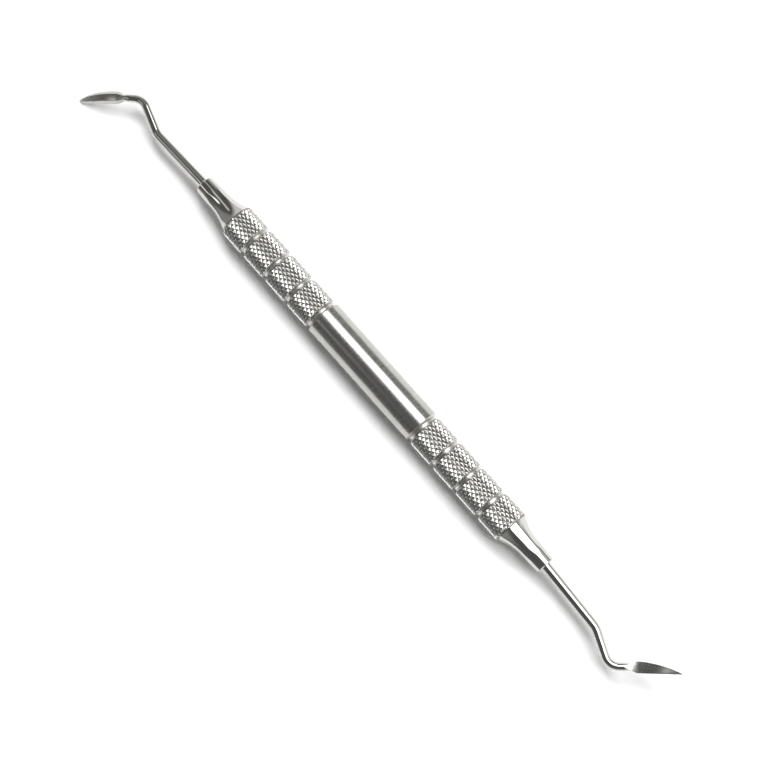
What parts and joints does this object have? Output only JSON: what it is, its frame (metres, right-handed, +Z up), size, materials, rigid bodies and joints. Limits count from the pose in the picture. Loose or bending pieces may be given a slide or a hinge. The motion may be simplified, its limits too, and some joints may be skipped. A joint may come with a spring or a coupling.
{
  "type": "sickle scaler",
  "caption": "Double-ended sickle scaler: knurled steel handle with a plain middle and ground flares, and a bent shank with a curved pointed blade at each end.",
  "frame": {"origin": "middle of the handle's length, on its axis", "axes": "+X along the handle to the end whose blade shows its face, +Z up from the surface it lies on, +Y to the side that blade points to"},
  "size_m": [0.1722, 0.0142, 0.008],
  "materials": {
    "handle_steel": "satin, with polished grooves and flares",
    "tip_steel": "polished, brushed along the blades"
  },
  "bodies": {
    "root": {"handle": "handle_steel", "left_scaler_tip": "tip_steel", "right_scaler_tip": "tip_steel"}
  },
  "joints": []
}
